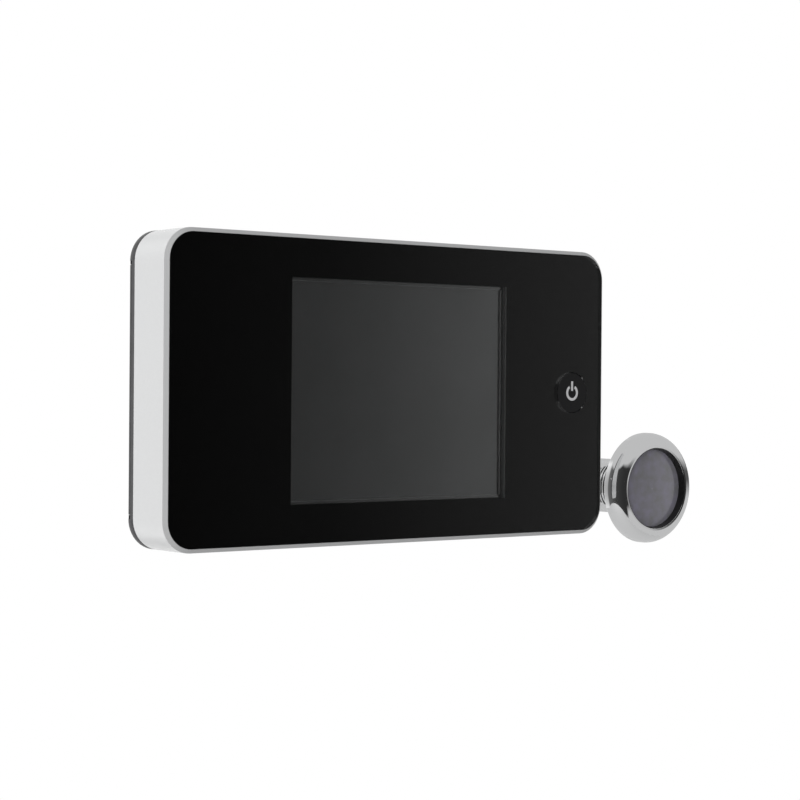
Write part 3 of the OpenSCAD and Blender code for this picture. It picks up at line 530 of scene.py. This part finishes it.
def loft(rings, around):
    """A closed mesh through rings; each ring is a function of angle that gives (radius, y)."""
    form = bmesh.new()
    rows = []
    for ring in rings:
        row = []
        for i in range(around + 1):
            angle = 2 * math.pi * i / around
            radius, y = ring(angle)
            row.append(form.verts.new((radius * math.cos(angle), y, radius * math.sin(angle))))
        rows.append(row)
    for first, second in zip(rows, rows[1:] + rows[:1]):
        for i in range(around):
            form.faces.new((first[i], first[i + 1], second[i + 1], second[i]))
    bmesh.ops.remove_doubles(form, verts=form.verts, dist=MERGE_GAP)
    bmesh.ops.recalc_face_normals(form, faces=form.faces)
    return form


def plain(radius, y):
    return lambda angle: (radius, y)


def coil(start, rise, root, depth, pitch, low, high):
    """A ring that climbs one pitch in a turn, at one height in the thread's profile."""
    def ring(angle):
        y = min(high, max(low, start + pitch * angle / (2 * math.pi)))
        fade = min(1.0, (y - low) / (RUN_OUT * pitch), (high - y) / (RUN_OUT * pitch))
        return root + depth * rise * fade, y
    return ring


def thread(root, depth, pitch, low, high):
    """Rings of a screw thread with flat crests and roots, from its high end to its low end."""
    rings = []
    for i in range((math.ceil((high - low) / pitch) + 1) * THREAD_STEPS, -1, -1):
        flank = abs(i % THREAD_STEPS / THREAD_STEPS - 0.5) * 2
        rise = min(1.0, max(0.0, CREST - flank * (CREST + ROOT)))
        rings.append(coil(low + pitch * (i / THREAD_STEPS - 1), rise, root, depth, pitch, low, high))
    return rings


def arc(middle_r, middle_y, radius, start, end, steps):
    """Rings along an arc in the section; angle 0 points outwards and 90 towards the front."""
    rings = []
    for i in range(steps + 1):
        angle = math.radians(start + (end - start) * i / steps)
        rings.append(plain(middle_r + radius * math.cos(angle), middle_y - radius * math.sin(angle)))
    return rings


def camera_shell():
    """Flange and threaded barrel: the CAD piece with its thread and turned edges.

    The shoulder's arc ends in a short cone, and the lip inside it slopes back to the window.
    """
    x, z = axis_of("camera_housing")
    inner = FLANGE_R - SHOULDER_IN
    root = BARREL_R - BARREL_THREAD
    rings = [plain(BORE_R, BARREL_END), plain(root, BARREL_END)]
    rings += thread(root, BARREL_THREAD, BARREL_PITCH, RELIEF_Y, BARREL_END - BARREL_CHAMFER)
    rings.append(plain(RELIEF_R, RELIEF_Y - RELIEF_STEP))
    rings.append(plain(RELIEF_R, FLANGE_BACK))
    rings += arc(FLANGE_R - EDGE_R, FLANGE_BACK - EDGE_R, EDGE_R, -90, 0, EDGE_STEPS)
    arc_end = FLANGE_R - SHOULDER_R + SHOULDER_R * math.sin(SHOULDER_SLOPE)
    cone_rise = (arc_end - inner - LIP_W) * math.tan(SHOULDER_SLOPE)
    rings += arc(FLANGE_R - SHOULDER_R, RIM_Y + cone_rise + SHOULDER_R * math.cos(SHOULDER_SLOPE),
                 SHOULDER_R, 0, 90 - math.degrees(SHOULDER_SLOPE), SHOULDER_STEPS)
    dip = LIP_W * math.tan(LIP_SLOPE)
    rings += [plain(inner + LIP_W, RIM_Y), plain(inner + LIP_EDGE, RIM_Y + dip),
              plain(inner, RIM_Y + dip + LIP_EDGE)]
    rings.append(plain(inner, WINDOW_BACK))
    rings.append(plain(BORE_R, WINDOW_BACK))
    form = loft(rings, BARREL_AROUND)
    bmesh.ops.translate(form, verts=form.verts, vec=(x, 0, z))
    piece = new_piece("camera_shell", form, "camera", chrome(), sharp=SHELL_SHARP)
    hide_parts("camera_housing")


def screw_threads():
    """Threads on the shanks of the two clamp screws."""
    low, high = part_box("clamp_screws")
    x, z = axis_of("clamp_screws")
    reach = (high[0] - low[0]) / 2 - SCREW_HEAD_R
    core = SCREW_R - SCREW_THREAD - SCREW_SINK
    root = SCREW_R - SCREW_THREAD + SCREW_PROUD
    whole = bmesh.new()
    for side in (-1, 1):
        rings = [plain(core, SCREW_END)]
        rings += thread(root, SCREW_THREAD, SCREW_PITCH, SCREW_START, SCREW_END)
        rings.append(plain(core, SCREW_START))
        form = loft(rings, SCREW_AROUND)
        bmesh.ops.translate(form, verts=form.verts, vec=(x + side * reach, 0, z))
        part = bpy.data.meshes.new("one_thread")
        form.to_mesh(part)
        form.free()
        whole.from_mesh(part)
    made = sheet_steel("zinc plated thread", 0.6, 0.25)
    new_piece("clamp_threads", whole, "bracket", made)


def power_sign():
    """Ring that is open at the top, with a bar in the opening, printed on the button."""
    x, z = axis_of("power_button")
    middle = Vector((x, 0, z))
    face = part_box("power_button")[0][1]
    y_front = face - SIGN_RAISE
    y_back = face + SIGN_RAISE
    form = bmesh.new()
    arc_band(form, SIGN_R - SIGN_STROKE, SIGN_R, SIGN_GAP / 2, 2 * math.pi - SIGN_GAP / 2,
             y_front, y_back, middle)
    half = SIGN_STROKE / 2
    corners = [(-half, SIGN_BAR[0]), (half, SIGN_BAR[0]), (half, SIGN_BAR[1]), (-half, SIGN_BAR[1])]
    front = [form.verts.new((middle.x + x, y_front, middle.z + z)) for x, z in corners]
    back = [form.verts.new((middle.x + x, y_back, middle.z + z)) for x, z in corners]
    form.faces.new(front)
    form.faces.new(back[::-1])
    for k in range(4):
        form.faces.new((front[k], back[k], back[(k + 1) % 4], front[(k + 1) % 4]))
    bmesh.ops.recalc_face_normals(form, faces=form.faces)
    made = moulded("printed sign", (0.5, 0.5, 0.51), (0.62, 0.62, 0.63), 0.5, 3000, 0.004)
    new_piece("power_sign", form, "power_button", made)


# Stage


def make_camera():
    x, z = axis_of("front_panel")
    target = Vector((x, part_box("front_panel")[0][1], z))
    ahead = Vector((math.sin(VIEW_YAW) * math.cos(VIEW_PITCH), math.cos(VIEW_YAW) * math.cos(VIEW_PITCH),
                    math.sin(VIEW_PITCH)))
    level = Vector((math.cos(VIEW_YAW), -math.sin(VIEW_YAW), 0))
    above = level.cross(ahead)
    right = math.cos(VIEW_ROLL) * level + math.sin(VIEW_ROLL) * above
    up = -math.sin(VIEW_ROLL) * level + math.cos(VIEW_ROLL) * above
    offset = right * (PANEL_RIGHT / FOCAL_PIXELS) - up * (PANEL_DOWN / FOCAL_PIXELS)
    data = bpy.data.cameras.new("camera")
    data.sensor_width = SENSOR
    data.lens = FOCAL_PIXELS * SENSOR / FRAME_SIDE
    data.clip_start = CLIP_START
    eye = bpy.data.objects.new("camera", data)
    bpy.context.scene.collection.objects.link(eye)
    turn = Matrix((right, up, -ahead)).transposed().to_4x4()
    eye.matrix_world = Matrix.Translation(target - VIEW_DISTANCE * (ahead + offset)) @ turn
    bpy.context.scene.camera = eye


def make_world():
    """White to the camera. Gloss and glass see a pale room with a dark side in front of the object."""
    world = bpy.data.worlds.new("studio")
    bpy.context.scene.world = world
    world.use_nodes = True
    tree = world.node_tree
    background = tree.nodes["Background"]
    path = tree.nodes.new("ShaderNodeLightPath")
    place = tree.nodes.new("ShaderNodeTexCoord")
    parts = tree.nodes.new("ShaderNodeSeparateXYZ")
    tree.links.new(place.outputs["Generated"], parts.inputs["Vector"])

    def calc(operation, *values):
        made = tree.nodes.new("ShaderNodeMath")
        made.operation = operation
        for socket, value in zip(made.inputs, values):
            if isinstance(value, (int, float)):
                socket.default_value = value
            else:
                tree.links.new(value, socket)
        return made.outputs["Value"]

    def graph(value, points, top=1.0):
        """A curve through (degrees, value) points, as a share of top."""
        stops = [((degrees + 180) / 360, (tone / top,) * 3) for degrees, tone in points]
        return color_stops(tree, value, stops)

    def blend(factor, first, second):
        mix = tree.nodes.new("ShaderNodeMix")
        mix.data_type = "RGBA"
        for socket, value in (("Factor", factor), ("A", first), ("B", second)):
            if isinstance(value, tuple):
                mix.inputs[socket].default_value = value
            else:
                tree.links.new(value, mix.inputs[socket])
        return mix.outputs["Result"]

    turn = calc("ARCTAN2", parts.outputs["X"], calc("MULTIPLY", parts.outputs["Y"], -1))
    compass = calc("ADD", calc("DIVIDE", turn, 2 * math.pi), 0.5)
    height = calc("MULTIPLY", calc("ARCSINE", parts.outputs["Z"]), 180 / math.pi)
    tops = calc("MULTIPLY", graph(compass, WALL_TOPS, UPRIGHT), UPRIGHT)
    feet = calc("MULTIPLY", graph(compass, WALL_FEET, UPRIGHT), UPRIGHT)
    over = calc("DIVIDE", calc("SUBTRACT", height, tops), WALL_SOFT)
    under = calc("DIVIDE", calc("SUBTRACT", calc("MULTIPLY", height, -1), feet), WALL_SOFT)
    lift = calc("MINIMUM", calc("MAXIMUM", calc("MAXIMUM", over, under), 0), 1)
    room = blend(lift, graph(compass, WALL_TONES), (CEILING, CEILING, CEILING, 1))
    gloss = calc("MAXIMUM", path.outputs["Is Glossy Ray"], path.outputs["Is Transmission Ray"])
    lit = blend(gloss, (SKY, SKY, SKY, 1), room)
    seen = blend(path.outputs["Is Camera Ray"], lit, (1, 1, 1, 1))
    tree.links.new(seen, background.inputs["Color"])


def lamp(name, place, aim, side, power):
    """Soft square lamp that gloss and glass don't show."""
    data = bpy.data.lights.new(name, "AREA")
    data.shape = "SQUARE"
    data.size = side
    data.energy = power
    made = bpy.data.objects.new(name, data)
    bpy.context.scene.collection.objects.link(made)
    made.visible_glossy = False
    made.visible_transmission = False
    made.location = place
    made.rotation_euler = (Vector(aim) - Vector(place)).to_track_quat("-Z", "Y").to_euler()


def make_floor():
    """Round pale table far under the door viewer, which hangs above it."""
    low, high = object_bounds()
    form = bmesh.new()
    bmesh.ops.create_circle(form, cap_ends=True, segments=FLOOR_SIDES, radius=FLOOR_R)
    data = bpy.data.meshes.new("floor")
    form.to_mesh(data)
    form.free()
    floor = bpy.data.objects.new("floor", data)
    floor.location = (0, 0, low[2] - FLOOR_DROP)
    bpy.context.scene.collection.objects.link(floor)
    made = finish("pale floor", (FLOOR_TONE,) * 3, 0.7)
    tree = made.node_tree
    shader = tree.nodes["Principled BSDF"]
    path = tree.nodes.new("ShaderNodeLightPath")
    glow = tree.nodes.new("ShaderNodeMath")
    glow.operation = "MULTIPLY"
    glow.inputs[1].default_value = FLOOR_GLOW
    shader.inputs["Emission Color"].default_value = (1, 1, 1, 1)
    tree.links.new(path.outputs["Is Camera Ray"], glow.inputs[0])
    tree.links.new(glow.outputs["Value"], shader.inputs["Emission Strength"])
    data.materials.append(made)


make_camera()
make_world()
dress()
soften("back_cover", COVER_BEVEL)
soften("battery_door", DOOR_BEVEL)
power_sign()
camera_shell()
screw_threads()
make_floor()
lamp("key", *KEY_LAMP)
lamp("fill", *FILL_LAMP)

bpy.context.scene.view_settings.view_transform = "Standard"
